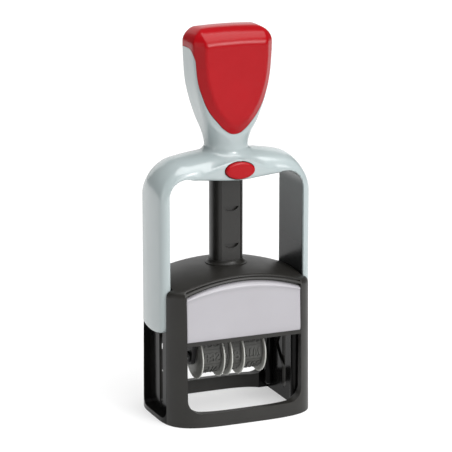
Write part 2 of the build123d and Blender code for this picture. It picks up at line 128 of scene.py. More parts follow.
def surface_nets(field, low, high, step):
    """Closed quad mesh of field = 0, every point moved onto the true surface."""
    axes = [np.arange(low[i] - 2 * step, high[i] + 3 * step, step) for i in range(3)]
    grid = np.meshgrid(*axes, indexing="ij")
    values = field(*grid)
    inside = values < 0
    shape = np.array(values.shape) - 1
    corners = [(i, j, k) for i in (0, 1) for j in (0, 1) for k in (0, 1)]

    def corner_of(array, corner):
        i, j, k = corner
        return array[i:i + shape[0], j:j + shape[1], k:k + shape[2]]

    filled = sum(corner_of(inside, corner).astype(np.int8) for corner in corners)
    active = (filled > 0) & (filled < 8)
    number = -np.ones(shape, dtype=np.int64)
    number[active] = np.arange(active.sum())
    cells = np.argwhere(active)
    total = np.zeros((len(cells), 3))
    count = np.zeros(len(cells))
    for first in corners:
        for axis in range(3):
            if first[axis]:
                continue
            second = tuple(1 if i == axis else first[i] for i in range(3))
            va = corner_of(values, first)[active]
            vb = corner_of(values, second)[active]
            cross = (va < 0) != (vb < 0)
            part = np.where(cross, va / np.where(cross, va - vb, 1), 0)
            spot = np.tile(np.array(first, float), (len(cells), 1))
            spot[:, axis] += part
            total[cross] += spot[cross]
            count[cross] += 1
    points = (cells + total / count[:, None]) * step + np.array([axis[0] for axis in axes])

    faces = []
    for axis in range(3):
        u, v = (axis + 1) % 3, (axis + 2) % 3
        here = [slice(0, shape[0]), slice(0, shape[1]), slice(0, shape[2])]
        here[u] = slice(1, shape[u])
        here[v] = slice(1, shape[v])
        ahead = list(here)
        ahead[axis] = slice(1, shape[axis] + 1)
        va = inside[tuple(here)]
        vb = inside[tuple(ahead)]
        for sign in (True, False):
            edge = np.argwhere((va == sign) & (vb != sign))
            base = edge.copy()
            base[:, u] += 1
            base[:, v] += 1
            ring = []
            for du, dv in ((0, 0), (-1, 0), (-1, -1), (0, -1)):
                cell = base.copy()
                cell[:, u] += du
                cell[:, v] += dv
                ring.append(number[cell[:, 0], cell[:, 1], cell[:, 2]])
            quads = np.stack(ring, axis=1)
            faces.append(quads if sign else quads[:, ::-1])
    faces = np.concatenate(faces)

    probe = step * 0.05
    for _ in range(4):
        x, y, z = points.T
        value = field(x, y, z)
        slope = np.stack([
            field(x + probe, y, z) - field(x - probe, y, z),
            field(x, y + probe, z) - field(x, y - probe, z),
            field(x, y, z + probe) - field(x, y, z - probe),
        ], axis=1) / (2 * probe)
        size = np.maximum((slope ** 2).sum(axis=1), 0.05)
        move = -slope * (value / size)[:, None]
        length = np.linalg.norm(move, axis=1)
        limit = np.minimum(1, 0.5 * step / np.maximum(length, 1e-9))
        points = points + move * limit[:, None]
    return points, faces


def prism(outline, axis, start, stop):
    """Closed mesh of a 2D outline pushed along an axis, all in millimetres."""
    def place(a, b, along):
        spots = {"X": (along, a, b), "Y": (a, along, b), "Z": (a, b, along)}
        return Vector(spots[axis]) * MM

    work = bmesh.new()
    near = [work.verts.new(place(a, b, start)) for a, b in outline]
    far = [work.verts.new(place(a, b, stop)) for a, b in outline]
    work.faces.new(near)
    work.faces.new(far[::-1])
    for index in range(len(outline)):
        following = (index + 1) % len(outline)
        work.faces.new((near[index], far[index], far[following], near[following]))
    return closed_mesh("prism", work)


def ellipse(half_a, half_b, a, b, count=96):
    return [(a + half_a * math.cos(2 * math.pi * i / count), b + half_b * math.sin(2 * math.pi * i / count))
            for i in range(count)]


def circle(radius, a=0.0, b=0.0):
    return ellipse(radius, radius, a, b)


def rounded_rect(half_a, half_b, radius, a=0.0, b=0.0, count=12):
    points = []
    for quarter, (sa, sb) in enumerate(((1, 1), (-1, 1), (-1, -1), (1, -1))):
        for step in range(count + 1):
            angle = math.pi / 2 * (quarter + step / count)
            points.append((a + sa * (half_a - radius) + radius * math.cos(angle),
                           b + sb * (half_b - radius) + radius * math.sin(angle)))
    return points


def carve(mesh, tool_mesh, operation="DIFFERENCE"):
    """Exact boolean of two meshes, returned as a new mesh."""
    base = bpy.data.objects.new("carve_base", mesh)
    tool = bpy.data.objects.new("carve_tool", tool_mesh)
    scene.collection.objects.link(base)
    scene.collection.objects.link(tool)
    modifier = base.modifiers.new("carve", "BOOLEAN")
    modifier.operation = operation
    modifier.solver = "EXACT"
    modifier.object = tool
    result = bpy.data.meshes.new_from_object(base.evaluated_get(bpy.context.evaluated_depsgraph_get()))
    bpy.data.objects.remove(base)
    bpy.data.objects.remove(tool)
    return result


def lathe_x(profile, centre_y, centre_z, count=128):
    """Closed solid of revolution about an axis along X; profile is (x, radius)."""
    points = []
    faces = []
    rings = len(profile)
    for x, radius in profile:
        for step in range(count):
            angle = 2 * math.pi * step / count
            spot = (x, centre_y + radius * math.cos(angle), centre_z + radius * math.sin(angle))
            points.append(Vector(spot) * MM)
    for ring in range(rings):
        after = (ring + 1) % rings
        for step in range(count):
            following = (step + 1) % count
            faces.append((ring * count + step, ring * count + following,
                          after * count + following, after * count + step))
    mesh = mesh_from("lathe", points, faces)
    work = bmesh.new()
    work.from_mesh(mesh)
    bmesh.ops.recalc_face_normals(work, faces=work.faces)
    work.to_mesh(mesh)
    work.free()
    return mesh


# ---------------------------------------------------------------- materials

def node_material(name):
    material = bpy.data.materials.new(name)
    material.use_nodes = True
    nodes = material.node_tree.nodes
    links = material.node_tree.links
    return material, nodes, links, nodes["Principled BSDF"]


def object_noise(nodes, links, scale, detail=3.0):
    coords = nodes.new("ShaderNodeTexCoord")
    noise = nodes.new("ShaderNodeTexNoise")
    noise.inputs["Scale"].default_value = scale
    noise.inputs["Detail"].default_value = detail
    links.new(coords.outputs["Object"], noise.inputs["Vector"])
    return noise


def spread(nodes, links, source, low, high):
    """Maps a 0 to 1 value to the range low to high."""
    remap = nodes.new("ShaderNodeMapRange")
    remap.inputs["To Min"].default_value = low
    remap.inputs["To Max"].default_value = high
    links.new(source, remap.inputs["Value"])
    return remap.outputs["Result"]


def tint(nodes, links, source, dark, light):
    """Blends two colours by a 0 to 1 value."""
    ramp = nodes.new("ShaderNodeValToRGB")
    ramp.color_ramp.elements[0].position = 0.3
    ramp.color_ramp.elements[1].position = 0.7
    ramp.color_ramp.elements[0].color = (*dark, 1)
    ramp.color_ramp.elements[1].color = (*light, 1)
    links.new(source, ramp.inputs["Fac"])
    return ramp.outputs["Color"]


def grain(nodes, links, shader, scale, distance, strength=0.3):
    """Fine moulded grain as a bump."""
    noise = object_noise(nodes, links, scale, 4.0)
    bump = nodes.new("ShaderNodeBump")
    bump.inputs["Distance"].default_value = distance
    bump.inputs["Strength"].default_value = strength
    links.new(noise.outputs["Fac"], bump.inputs["Height"])
    links.new(bump.outputs["Normal"], shader.inputs["Normal"])


def moulded(name, dark, light, rough_low, rough_high, grain_scale=2600, grain_depth=0.00002,
            coat=0.0, coat_rough=0.08, grain_strength=0.3, specular=0.5):
    """Injection-moulded plastic: slight colour flow, uneven gloss and fine grain."""
    material, nodes, links, shader = node_material(name)
    flow = object_noise(nodes, links, 45)
    links.new(tint(nodes, links, flow.outputs["Fac"], dark, light), shader.inputs["Base Color"])
    wear = object_noise(nodes, links, 160)
    links.new(spread(nodes, links, wear.outputs["Fac"], rough_low, rough_high), shader.inputs["Roughness"])
    shader.inputs["Specular IOR Level"].default_value = specular
    shader.inputs["Coat Weight"].default_value = coat
    shader.inputs["Coat Roughness"].default_value = coat_rough
    grain(nodes, links, shader, grain_scale, grain_depth, grain_strength)
    return material


def metal(name, dark, light, rough_low, rough_high):
    material, nodes, links, shader = node_material(name)
    brushed = object_noise(nodes, links, 900)
    links.new(tint(nodes, links, brushed.outputs["Fac"], dark, light), shader.inputs["Base Color"])
    links.new(spread(nodes, links, brushed.outputs["Fac"], rough_low, rough_high), shader.inputs["Roughness"])
    shader.inputs["Metallic"].default_value = 1.0
    grain(nodes, links, shader, 1800, 0.00001)
    return material


def within(nodes, links, value, limit, below):
    """1 where a value is below (or above) a limit, with a very narrow step."""
    compare = nodes.new("ShaderNodeMath")
    compare.operation = "LESS_THAN" if below else "GREATER_THAN"
    compare.inputs[1].default_value = limit
    links.new(value, compare.inputs[0])
    return compare.outputs[0]


def combine(nodes, links, operation, first, second):
    joint = nodes.new("ShaderNodeMath")
    joint.operation = operation
    links.new(first, joint.inputs[0])
    links.new(second, joint.inputs[1])
    return joint.outputs[0]


def magnitude(nodes, links, value):
    size = nodes.new("ShaderNodeMath")
    size.operation = "ABSOLUTE"
    links.new(value, size.inputs[0])
    return size.outputs[0]


def blend(nodes, links, factor, first, second):
    """Mixes two colours by a factor."""
    mix = nodes.new("ShaderNodeMix")
    mix.data_type = "RGBA"
    links.new(factor, mix.inputs["Factor"])
    links.new(first, mix.inputs["A"])
    links.new(second, mix.inputs["B"])
    return mix.outputs["Result"]


def base_body_material():
    """Black base moulding: satin outside, polished in the leg channels and inside."""
    material, nodes, links, shader = node_material("base_plastic")
    coords = nodes.new("ShaderNodeTexCoord")
    parts = nodes.new("ShaderNodeSeparateXYZ")
    links.new(coords.outputs["Object"], parts.inputs["Vector"])
    sizes = [magnitude(nodes, links, parts.outputs[axis]) for axis in ("X", "Y")]
    channel = combine(nodes, links, "MULTIPLY", within(nodes, links, sizes[0], CHANNEL_FLOOR_X * MM, False),
                      within(nodes, links, sizes[1], CHANNEL_HALF_Y * MM, True))
    inner = combine(nodes, links, "MULTIPLY", within(nodes, links, sizes[0], WELL_HALF_X * MM, True),
                    within(nodes, links, sizes[1], WELL_HALF_Y * MM, True))
    below_dome = nodes.new("ShaderNodeVectorMath")
    below_dome.operation = "DISTANCE"
    below_dome.inputs[1].default_value = (0, 0, DOME_CENTRE_Z * MM)
    links.new(coords.outputs["Object"], below_dome.inputs[0])
    inner = combine(nodes, links, "MULTIPLY", inner,
                    within(nodes, links, below_dome.outputs["Value"], (DOME_RADIUS - DOME_SKIN) * MM, True))
    polished = combine(nodes, links, "MAXIMUM", channel, inner)
    flow = object_noise(nodes, links, 60)
    satin = tint(nodes, links, flow.outputs["Fac"], (0.012, 0.0112, 0.0098), (0.016, 0.0150, 0.0130))
    deep = tint(nodes, links, flow.outputs["Fac"], (0.004, 0.004, 0.004), (0.007, 0.0068, 0.0065))
    links.new(blend(nodes, links, polished, satin, deep), shader.inputs["Base Color"])
    wear = object_noise(nodes, links, 170)
    gloss = nodes.new("ShaderNodeMix")
    links.new(polished, gloss.inputs["Factor"])
    links.new(spread(nodes, links, wear.outputs["Fac"], 0.36, 0.46), gloss.inputs["A"])
    links.new(spread(nodes, links, wear.outputs["Fac"], 0.12, 0.18), gloss.inputs["B"])
    links.new(gloss.outputs["Result"], shader.inputs["Roughness"])
    links.new(spread(nodes, links, polished, 0.36, 0.25), shader.inputs["Specular IOR Level"])
    links.new(spread(nodes, links, polished, 1.5, 1.3), shader.inputs["IOR"])
    grain(nodes, links, shader, 2400, 0.00002)
    return material


def handle_material():
    """Grey handle plastic, with painted shade on the inside faces of the legs: a darker colour, darkest
    towards the bottom, standing in for shade and the reflected black base.
    """
    material, nodes, links, shader = node_material("grey_plastic")
    coords = nodes.new("ShaderNodeTexCoord")
    parts = nodes.new("ShaderNodeSeparateXYZ")
    links.new(coords.outputs["Object"], parts.inputs["Vector"])
    size = magnitude(nodes, links, parts.outputs["X"])
    depth = magnitude(nodes, links, parts.outputs["Y"])
    corner = []
    for value, limit in ((size, LEG_IN), (parts.outputs["Z"], OPENING_TOP)):
        past = nodes.new("ShaderNodeMath")
        past.operation = "SUBTRACT"
        past.inputs[1].default_value = (limit - OPENING_ROUND) * MM
        links.new(value, past.inputs[0])
        beyond = nodes.new("ShaderNodeMath")
        beyond.operation = "MAXIMUM"
        beyond.inputs[1].default_value = 0
        links.new(past.outputs[0], beyond.inputs[0])
        corner.append(combine(nodes, links, "MULTIPLY", beyond.outputs[0], beyond.outputs[0]))
    reach = combine(nodes, links, "ADD", corner[0], corner[1])
    face = within(nodes, links, reach, ((OPENING_ROUND + 0.12) * MM) ** 2, True)
    # Painted shade: the mask picks the inside faces of the legs under the arch, which get a darker colour
    # that deepens towards the bottom.
    for value, limit, below in ((size, SHADE_FROM_X * MM, False), (depth, SHADE_HALF_Y * MM, True)):
        face = combine(nodes, links, "MULTIPLY", face, within(nodes, links, value, limit, below))
    height = nodes.new("ShaderNodeMapRange")
    height.inputs["From Min"].default_value = SHADE_TOP_Z * MM
    height.inputs["From Max"].default_value = SHADE_DARK_Z * MM
    links.new(parts.outputs["Z"], height.inputs["Value"])
    flow = object_noise(nodes, links, 45)
    outside = tint(nodes, links, flow.outputs["Fac"], (0.335, 0.385, 0.39), (0.355, 0.405, 0.41))
    upper = tint(nodes, links, flow.outputs["Fac"], (0.085, 0.097, 0.097), (0.092, 0.105, 0.105))
    lower = tint(nodes, links, flow.outputs["Fac"], (0.018, 0.020, 0.020), (0.021, 0.023, 0.023))
    painted_shade = blend(nodes, links, height.outputs["Result"], upper, lower)
    links.new(blend(nodes, links, face, outside, painted_shade), shader.inputs["Base Color"])
    wear = object_noise(nodes, links, 160)
    links.new(spread(nodes, links, wear.outputs["Fac"], 0.20, 0.28), shader.inputs["Roughness"])
    links.new(spread(nodes, links, face, 0.5, 0.0), shader.inputs["Coat Weight"])
    links.new(spread(nodes, links, face, 0.5, 0.15), shader.inputs["Specular IOR Level"])
    shader.inputs["Coat Roughness"].default_value = 0.10
    grain(nodes, links, shader, 2600, 0.000006)
    return material


def wheel_material():
    """Pale wheel plastic, with a painted highlight: lighter towards the thin rims of the discs."""
    material, nodes, links, shader = node_material("wheel_plastic")
    coords = nodes.new("ShaderNodeTexCoord")
    centre = nodes.new("ShaderNodeVectorMath")
    centre.operation = "SUBTRACT"
    centre.inputs[1].default_value = (0, 0, WHEEL_Z * MM)
    links.new(coords.outputs["Object"], centre.inputs[0])
    flat = nodes.new("ShaderNodeVectorMath")
    flat.operation = "MULTIPLY"
    flat.inputs[1].default_value = (0, 1, 1)
    links.new(centre.outputs["Vector"], flat.inputs[0])
    size = nodes.new("ShaderNodeVectorMath")
    size.operation = "LENGTH"
    links.new(flat.outputs["Vector"], size.inputs[0])
    # Painted highlight: a lighter colour in a thin band at the rims of the discs.
    edge = nodes.new("ShaderNodeMapRange")
    edge.inputs["From Min"].default_value = 0.0093
    edge.inputs["From Max"].default_value = 0.0098
    links.new(size.outputs["Value"], edge.inputs["Value"])
    flow = object_noise(nodes, links, 90)
    body = tint(nodes, links, flow.outputs["Fac"], (0.27, 0.27, 0.25), (0.32, 0.32, 0.295))
    rim_highlight = tint(nodes, links, flow.outputs["Fac"], (0.55, 0.55, 0.51), (0.62, 0.62, 0.58))
    links.new(blend(nodes, links, edge.outputs["Result"], body, rim_highlight), shader.inputs["Base Color"])
    links.new(spread(nodes, links, flow.outputs["Fac"], 0.34, 0.48), shader.inputs["Roughness"])
    grain(nodes, links, shader, 2400, 0.00001)
    return material


grey_plastic = handle_material()
red_plastic = moulded("red_plastic", (0.30, 0.003, 0.006), (0.34, 0.004, 0.008), 0.17, 0.24,
                      grain_depth=0.000005, specular=0.16)
base_plastic = base_body_material()
column_plastic = moulded("column_plastic", (0.012, 0.0115, 0.010), (0.017, 0.016, 0.0145), 0.26, 0.36,
                         grain_depth=0.00001, specular=0.4)
dark_plastic = moulded("dark_plastic", (0.012, 0.012, 0.012), (0.02, 0.02, 0.02), 0.32, 0.45, specular=0.35)
silver_panel = moulded("silver_panel", (0.335, 0.325, 0.345), (0.350, 0.340, 0.362), 0.34, 0.40,
                       grain_scale=3800, grain_depth=0.000008)
wheel_plastic = wheel_material()
band_rubber = moulded("band_rubber", (0.065, 0.065, 0.060), (0.085, 0.085, 0.078), 0.50, 0.70,
                      grain_depth=0.00005)
die_rubber = moulded("die_rubber", (0.20, 0.045, 0.03), (0.26, 0.06, 0.04), 0.55, 0.7, grain_depth=0.00004)
ink_foam = moulded("ink_foam", (0.008, 0.008, 0.03), (0.02, 0.02, 0.06), 0.7, 0.95, grain_scale=1500,
                   grain_depth=0.00012, grain_strength=0.8)
steel = metal("steel", (0.50, 0.50, 0.51), (0.62, 0.62, 0.63), 0.22, 0.34)

SLOT_MATERIALS = {
    "black_plastic": base_plastic,
    "dark_plastic": dark_plastic,
    "grey_plastic": grey_plastic,
    "red_plastic": red_plastic,
    "silver_panel": silver_panel,
    "steel": steel,
    "ink_foam": ink_foam,
    "die_rubber": die_rubber,
    "band_rubber": band_rubber,
    "wheel_plastic": wheel_plastic,
}
for entry in frame["record"]["subparts"]:
    material = SLOT_MATERIALS[entry["material_slot"]]
    if entry["node"] == "guide_column":
        material = column_plastic
    for holder in frame["nodes"][entry["node"]].material_slots:
        holder.material = material


# ---------------------------------------------------------------- handle

LEG_HALF_Y = 13.0
ARCH_TOP = 115.0
BOSS_REACH = 21.0
BUTTON_Z = (button_low.z + button_high.z) / 2
BUTTON_HALF_X = button_high.x
BUTTON_HALF_Z = (button_high.z - button_low.z) / 2
BUTTON_FACE = -button_low.y
TONGUE_Z = 107.5
TONGUE_HALF_X = 2.2
TONGUE_HALF_Z = 0.6
TONGUE_GAP = 0.3
BUTTON_GAP = 0.35
POCKET_FLOOR = 10.3
COLUMN_BORE = 7.5
PIN_RADIUS = 1.7
GRIP_TOP = grip_high.z

# Heights, half widths, half depths and corner radii of the grip.
GRIP_Z = (112, 118, 122, 128, 135, 141, 147, 154, 160, 170)
GRIP_HALF_X = (9.5, 9.5, 10.2, 12.0, 14.2, 15.8, 16.9, 17.6, 17.9, 17.9)
GRIP_HALF_Y = (9.5, 9.5, 10.4, 12.0, 12.1, 12.0, 12.0, 12.0, 12.0, 12.0)
GRIP_CORNER = (9.5, 9.5, 9.1, 7.3, 5.6, 4.7, 4.2, 3.9, 3.8, 3.8)
GRIP_SLANT = (1.0, 1.0, 0.97, 0.86, 0.75, 0.68, 0.64, 0.62, 0.62, 0.62)
GRIP_SET_FORWARD = 0.5


def eased(z, heights, values):
    """A smooth curve through a few values, by cubic pieces."""
    heights = np.array(heights, float)
    values = np.array(values, float)
    slopes = np.gradient(values, heights)
    z = np.clip(z, heights[0], heights[-1])
    index = np.clip(np.searchsorted(heights, z) - 1, 0, len(heights) - 2)
    width = heights[index + 1] - heights[index]
    t = (z - heights[index]) / width
    return (values[index] * (1 + 2 * t) * (1 - t) ** 2 + slopes[index] * width * t * (1 - t) ** 2
            + values[index + 1] * t ** 2 * (3 - 2 * t) + slopes[index + 1] * width * t ** 2 * (t - 1))


def arch_field(x, y, z):
    """The two legs and the bar that joins them."""
    side = np.abs(x) - (LEG_OUT - y ** 2 / 170)
    top = z - (ARCH_TOP - x ** 2 / 220 - y ** 2 / 42)
    shell = round_max(side, top, 11.5)
    shell = round_max(shell, np.abs(y) - LEG_HALF_Y, 3.6)
    opening = round_max(np.abs(x) - LEG_IN, z - OPENING_TOP, OPENING_ROUND)
    arch = round_max(shell, -opening, 0.6)
    foot = round_max(yoke_low.z - z + y ** 2 / 90, np.abs(y) - LEG_HALF_Y, 4.0)
    return round_max(arch, foot, 0.8)


def boss_field(x, y, z):
    """The eye-shaped facet round the lock button, drawn out to points along the bar."""
    reach = np.clip(1 - (np.abs(x) / BOSS_REACH) ** 1.5, 0, 1)
    top = z - (104.6 + 7.9 * reach ** 0.9)
    bottom = (103.6 + 1.6 * (1 - reach)) - z
    front = -y - (BUTTON_FACE - 1.0 - 3.2 * (1 - reach))
    facet = round_max(round_max(top, bottom, 1.0), front, 1.6)
    return np.maximum(np.maximum(facet, np.abs(x) - BOSS_REACH), y + 6)


# Heights and half widths of the flat shield face, from its tip up.
FACE_Z = (126.5, 127.2, 129.5, 134.0, 142.0, 153.0, 161.0, 175.0)
FACE_HALF_X = (0.0, 2.4, 5.3, 8.4, 11.7, 13.6, 13.8, 13.8)
FACE_STEP = 0.25
FACE_CORNER = (0.0, 108.0)


def face_distances():
    """Distances outside the shield face's outline, on a fine grid of x and z."""
    heights = FACE_Z[0] + (FACE_Z[-1] - FACE_Z[0]) * np.linspace(0, 1, 400) ** 1.6
    widths = eased(heights, FACE_Z[1:], FACE_HALF_X[1:])
    tip = np.sqrt(np.clip((heights - FACE_Z[0]) / (FACE_Z[1] - FACE_Z[0]), 0, 1))
    widths = widths * tip
    xs = FACE_CORNER[0] + np.arange(0, 100) * FACE_STEP
    zs = FACE_CORNER[1] + np.arange(0, 280) * FACE_STEP
    grid_x, grid_z = np.meshgrid(xs, zs, indexing="ij")
    away = np.full(grid_x.shape, 1e9)
    for start in range(len(heights) - 1):
        ax, az = widths[start], heights[start]
        bx, bz = widths[start + 1], heights[start + 1]
        length = (bx - ax) ** 2 + (bz - az) ** 2 + 1e-12
        part = np.clip(((grid_x - ax) * (bx - ax) + (grid_z - az) * (bz - az)) / length, 0, 1)
        away = np.minimum(away, np.hypot(grid_x - ax - part * (bx - ax), grid_z - az - part * (bz - az)))
    inside = (grid_z > FACE_Z[0]) & (grid_x < np.interp(grid_z, heights, widths))
    return np.where(inside, -away, away)


FACE_TABLE = face_distances()


def face_distance(x, z):
    """Smooth lookup in the table of distances."""
    u = np.clip((np.abs(x) - FACE_CORNER[0]) / FACE_STEP, 0, FACE_TABLE.shape[0] - 1.001)
    v = np.clip((z - FACE_CORNER[1]) / FACE_STEP, 0, FACE_TABLE.shape[1] - 1.001)
    i, j = u.astype(int), v.astype(int)
    a, b = u - i, v - j
    return ((FACE_TABLE[i, j] * (1 - a) + FACE_TABLE[i + 1, j] * a) * (1 - b)
            + (FACE_TABLE[i, j + 1] * (1 - a) + FACE_TABLE[i + 1, j + 1] * a) * b)


def grip_field(x, y, z):
    """Neck and grip: rounded sections that grow upwards, with a domed top."""
    corner = eased(z, GRIP_Z, GRIP_CORNER)
    forward = GRIP_SET_FORWARD * np.clip((z - 118) / 20, 0, 1)
    depth = np.abs(y + forward) - eased(z, GRIP_Z, GRIP_HALF_Y)
    body = round_max(np.abs(x) - eased(z, GRIP_Z, GRIP_HALF_X), depth * eased(z, GRIP_Z, GRIP_SLANT), corner)
    front = np.interp(z, (124, 130, 140, 152), (0.62, 0.80, 1.0, 1.15))
    back = np.interp(z, (124, 130, 140, 152), (0.62, 0.85, 1.25, 1.7))
    border = np.where(y < 0, front, back)
    deepest = np.interp(z, (119, 122, 126, 130, 152), (2.0, 2.0, 3.0, 4.5, 9.0))
    fall = np.minimum(border * face_distance(x, z), deepest)
    plane = np.abs(y + forward) - GRIP_HALF_Y[-1]
    body = round_max(body, (plane + fall) / np.sqrt(1 + border ** 2), 0.4)
    body = round_max(body, z - (GRIP_TOP - 0.4 - x ** 2 / 420 - y ** 2 / 160), 6.4)
    return np.maximum(body, 110 - z)


def handle_field(x, y, z):
    handle = round_min(arch_field(x, y, z), boss_field(x, y, z), 1.8)
    return round_min(handle, grip_field(x, y, z), 2.4)


def shield_outline(grow):
    """The red face's border seen from the front, from its tip up past the top."""
    heights = (122.5, 123.3, 125, 127.7, 130.5, 135, 139.7, 144, 149, 153, 157)
    widths = (0.0, 3.0, 5.2, 7.6, 10.0, 12.7, 14.5, 15.9, 16.9, 17.6, 18.6)
    right = []
    for step in range(80):
        t = step / 79
        z = heights[0] + (heights[-1] - heights[0]) * t ** 2
        if z < heights[1]:
            width = widths[1] * math.sqrt(max(0.0, (z - heights[0]) / (heights[1] - heights[0])))
        else:
            width = float(eased(np.array(z), heights[1:], widths[1:]))
        right.append((width + grow * (1 if step else 0), z - grow))
    right.append((20, 157 - grow))
    right.append((20, 172))
    left = [(-a, b) for a, b in right[::-1] if a > 0.001]
    return right + left


def saddle_gap(grow):
    """The part of the grip under the red saddle, seen from the side."""
    half = 8.5 - grow
    top = 159.0 - grow
    radius = 6.0
    points = [(half, 100)]
    for step in range(17):
        angle = math.pi / 2 * step / 16
        points.append((half - radius + radius * math.cos(angle), top - radius + radius * math.sin(angle)))
    return points + [(-a, b) for a, b in points[::-1]]


def build_handle():
    step = 0.7
    low = (-LEG_OUT, -BUTTON_FACE, yoke_low.z)
    high = (LEG_OUT, LEG_HALF_Y + 1, GRIP_TOP)
    points, faces = surface_nets(handle_field, low, high, step)
    whole = mesh_from("handle", points * MM, faces)

    gap = 0.07
    saddle = prism(shield_outline(-gap), "Y", -20, 20)
    saddle = carve(saddle, prism(saddle_gap(-gap), "X", -30, 30))
    seat = prism(shield_outline(gap), "Y", -20, 20)
    seat = carve(seat, prism(saddle_gap(gap), "X", -30, 30))
    cap = carve(whole, saddle, "INTERSECT")
    grey = carve(whole, seat)

    oval = ellipse(BUTTON_HALF_X + BUTTON_GAP, BUTTON_HALF_Z + BUTTON_GAP, 0, BUTTON_Z)
    pocket = prism(oval, "Y", -25, -POCKET_FLOOR)
    grey = carve(grey, pocket)
    slot = rounded_rect(TONGUE_HALF_X + TONGUE_GAP, TONGUE_HALF_Z + TONGUE_GAP, 0.3, 0, TONGUE_Z)
    grey = carve(grey, prism(slot, "Y", -POCKET_FLOOR - 1, -5))
    grey = carve(grey, prism(circle(COLUMN_BORE), "Z", 90, 156))
    for side in (-1, 1):
        start, stop = sorted((side * 28, side * 33.1))
        grey = carve(grey, prism(circle(PIN_RADIUS, 0, PIVOT_Z), "X", start, stop))
    smooth(grey)
    smooth(cap)
    add_piece("yoke_shell", grey, "handle", grey_plastic, ["yoke"])
    add_piece("red_grip_saddle", cap, "handle", red_plastic, ["grip_cap"])


def build_button():
    """The oval lock button with a soft crowned face, and its tongue."""
    rings = []
    depth = button_low.y
    profile = [(1.0, 3.5), (1.0, 1.0), (0.985, 0.55), (0.95, 0.25), (0.88, 0.08), (0.7, 0.0), (0.45, 0.0)]
    count = 96
    points = []
    faces = []
    for scale, back in profile:
        inset = (1 - scale) * BUTTON_HALF_Z
        for step in range(count):
            angle = 2 * math.pi * step / count
            points.append(Vector(((BUTTON_HALF_X - inset) * math.cos(angle), depth + back,
                                  BUTTON_Z + (BUTTON_HALF_Z - inset) * math.sin(angle))) * MM)
    for ring in range(len(profile) - 1):
        for step in range(count):
            following = (step + 1) % count
            faces.append((ring * count + step, ring * count + following,
                          (ring + 1) * count + following, (ring + 1) * count + step))
    faces.append(tuple(range((len(profile) - 1) * count, len(profile) * count)))
    faces.append(tuple(range(count))[::-1])
    mesh = mesh_from("button", points, faces)
    tongue = rounded_rect(TONGUE_HALF_X, TONGUE_HALF_Z, 0.3, 0, TONGUE_Z)
    tongue = prism(tongue, "Y", depth + 2.5, button_high.y)
    mesh = carve(mesh, tongue, "UNION")
    smooth(mesh)
    add_piece("lock_button_oval", mesh, "lock", red_plastic, ["lock_button"])


COIL_X = 4.2
COIL_RADIUS = 1.1


def build_lock_coils():
    """The two small springs behind the button, short enough to stay hidden when it is pressed."""
    curve = bpy.data.curves.new("coils", "CURVE")
    curve.dimensions = "3D"
    curve.bevel_depth = 0.2 * MM
    curve.bevel_resolution = 3
    turns = 3
    back = -POCKET_FLOOR - 0.4
    front = back - 2.6
    for side in (-1, 1):
        spline = curve.splines.new("POLY")
        steps = turns * 24
        spline.points.add(steps)
        for step in range(steps + 1):
            angle = 2 * math.pi * turns * step / steps
            across = side * COIL_X + COIL_RADIUS * math.cos(angle)
            along = back + (front - back) * step / steps
            spot = Vector((across, along, BUTTON_Z + COIL_RADIUS * math.sin(angle))) * MM
            spline.points[step].co = (*spot, 1)
    holder = bpy.data.objects.new("coils", curve)
    scene.collection.objects.link(holder)
    bpy.context.view_layer.update()
    mesh = bpy.data.meshes.new_from_object(holder.evaluated_get(bpy.context.evaluated_depsgraph_get()))
    bpy.data.objects.remove(holder)
    smooth(mesh, 60)
    add_piece("lock_coils", mesh, "handle", steel, ["lock_spring"])


build_handle()
build_button()
build_lock_coils()


# ---------------------------------------------------------------- date unit

WHEEL_RADIUS = (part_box("wheel_month")[1].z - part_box("wheel_month")[0].z) / 2 / MM
WHEEL_BORE = 1.55
PULLEY_RADIUS = 6.6
DISC_THICKNESS = 0.65


def disc_profile(start):
    """One thin finger disc with a round rim, as x and radius, from its start face."""
    ends = [(0, WHEEL_RADIUS - 0.2), (0.12, WHEEL_RADIUS - 0.03), (DISC_THICKNESS / 2, WHEEL_RADIUS),
            (DISC_THICKNESS - 0.12, WHEEL_RADIUS - 0.03), (DISC_THICKNESS, WHEEL_RADIUS - 0.2)]
    return [(start + along, radius) for along, radius in ends]


def build_wheels():
    """Each date wheel: a pulley for its band and one or two thin finger discs with round rims."""
    for name in ("month", "day_tens", "day_units", "year"):
        low, high = (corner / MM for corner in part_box(f"wheel_{name}"))
        profile = [(low.x, WHEEL_BORE)] + disc_profile(low.x) + [(low.x + DISC_THICKNESS, PULLEY_RADIUS)]
        if name == "year":
            last = high.x - DISC_THICKNESS
            profile += [(last, PULLEY_RADIUS)] + disc_profile(last)
        else:
            profile.append((high.x, PULLEY_RADIUS))
        profile.append((high.x, WHEEL_BORE))
        mesh = lathe_x(profile, 0, WHEEL_Z, 160)
        smooth(mesh, 40)
        piece_name = f"{name}_finger_wheel"
        add_piece(piece_name, mesh, f"{name}_wheel", wheel_plastic, [f"wheel_{name}"])


build_wheels()

BAND_FACE = 7.5
BAND_THICKNESS = 0.85
BAR_FACE = (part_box("print_bar")[1].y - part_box("print_bar")[0].y) / 2 / MM + 0.05 + BAND_THICKNESS
BAND_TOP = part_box("band_month")[1].z / MM
BAR_Z = BAND_TOP - BAR_FACE
BAND_TILT = math.asin((BAND_FACE - BAR_FACE) / (BAR_Z - WHEEL_Z))
ROWS = 12


def band_lengths():
    """Lengths of half the loop: round the wheel, along the straight, round the bar."""
    return (BAND_FACE * (math.pi / 2 + BAND_TILT), (BAR_Z - WHEEL_Z) * math.cos(BAND_TILT),
            BAR_FACE * (math.pi / 2 - BAND_TILT))


